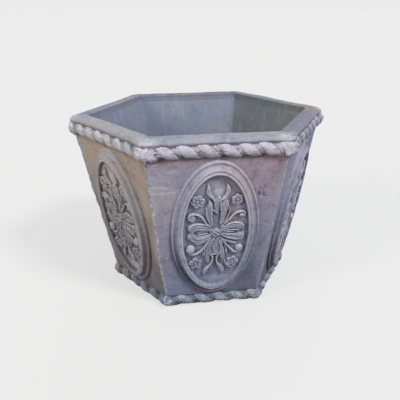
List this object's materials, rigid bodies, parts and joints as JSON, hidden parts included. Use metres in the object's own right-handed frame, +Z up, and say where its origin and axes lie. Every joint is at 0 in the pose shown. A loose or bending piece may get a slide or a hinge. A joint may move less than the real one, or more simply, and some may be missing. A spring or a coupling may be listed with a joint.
{
  "type": "tulsi vrindavan planter",
  "caption": "Hexagonal cast cement planter with outward-leaning walls, oval floral medallions and twisted rope mouldings round rim and foot; open top, drain hole in the floor.",
  "frame": {"origin": "centre of the foot, on the ground", "axes": "+Z up; a corner points along +X; the front face looks along -Y"},
  "size_m": [0.4674, 0.4048, 0.314],
  "materials": {
    "wall_cement": "rough cast cement",
    "coping_cement": "trowelled cement",
    "rope_cement": "cast cement",
    "medallion_cement": "cast cement",
    "relief_cement": "cast cement",
    "mortar": "rough mortar",
    "floor_cement": "rough cement",
    "steel": "plain round bar"
  },
  "bodies": {
    "root": {"floor_slab": "floor_cement", "wall_panel_front": "wall_cement", "coping_front": "coping_cement", "rim_rope_front": "rope_cement", "base_rope_front": "rope_cement", "oval_medallion_front": "medallion_cement", "floral_relief_front": "relief_cement", "wall_panel_front_right": "wall_cement", "coping_front_right": "coping_cement", "rim_rope_front_right": "rope_cement", "base_rope_front_right": "rope_cement", "oval_medallion_front_right": "medallion_cement", "floral_relief_front_right": "relief_cement", "wall_panel_back_right": "wall_cement", "coping_back_right": "coping_cement", "rim_rope_back_right": "rope_cement", "base_rope_back_right": "rope_cement", "oval_medallion_back_right": "medallion_cement", "floral_relief_back_right": "relief_cement", "wall_panel_back": "wall_cement", "coping_back": "coping_cement", "rim_rope_back": "rope_cement", "base_rope_back": "rope_cement", "oval_medallion_back": "medallion_cement", "floral_relief_back": "relief_cement", "wall_panel_back_left": "wall_cement", "coping_back_left": "coping_cement", "rim_rope_back_left": "rope_cement", "base_rope_back_left": "rope_cement", "oval_medallion_back_left": "medallion_cement", "floral_relief_back_left": "relief_cement", "wall_panel_front_left": "wall_cement", "coping_front_left": "coping_cement", "rim_rope_front_left": "rope_cement", "base_rope_front_left": "rope_cement", "oval_medallion_front_left": "medallion_cement", "floral_relief_front_left": "relief_cement", "corner_joint_right": "mortar", "corner_joint_back_right": "mortar", "corner_joint_back_left": "mortar", "corner_joint_left": "mortar", "corner_joint_front_left": "mortar", "corner_joint_front_right": "mortar", "corner_bars": "steel", "rim_hoop": "steel", "floor_hoop": "steel"}
  },
  "joints": []
}
